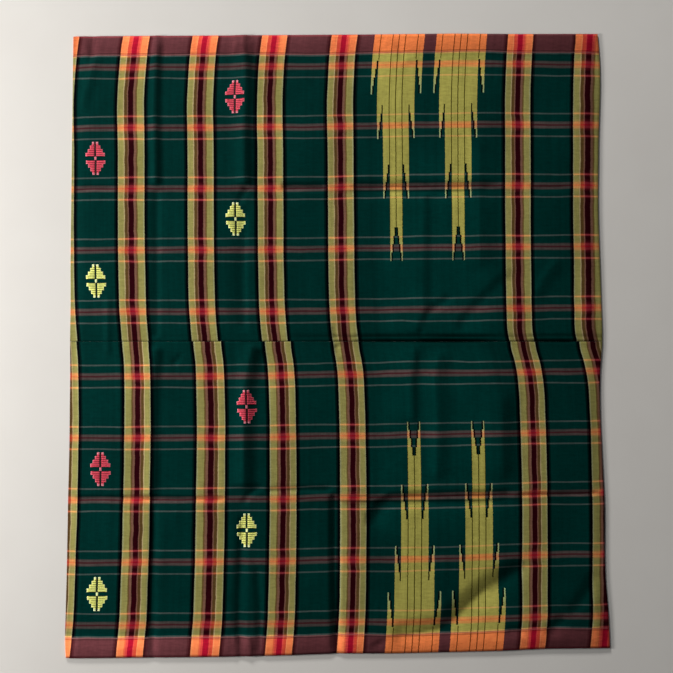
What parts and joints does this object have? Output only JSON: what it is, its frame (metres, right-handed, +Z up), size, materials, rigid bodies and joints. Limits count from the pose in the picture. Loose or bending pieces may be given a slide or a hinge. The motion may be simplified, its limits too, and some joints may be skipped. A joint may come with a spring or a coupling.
{
  "type": "songket sarong",
  "caption": "Tube skirt of plaid woven cloth laid flat, two loom widths joined by a centre seam, with ikat spikes and brocaded flowers.",
  "frame": {"origin": "middle of the flat underside, at the bottom centre of the bounding box", "axes": "+Z up from the surface the sarong lies on, +Y along its height towards the upper mouth, +X across its flat width towards the right-hand fold as seen from above"},
  "size_m": [1.0422, 1.21, 0.0055],
  "materials": {
    "cloth": "fine plain weave of mercerised cotton and silk with a soft sheen, striped and checked"
  },
  "bodies": {
    "root": {"upper_panel": "cloth", "lower_panel": "cloth"}
  },
  "joints": []
}
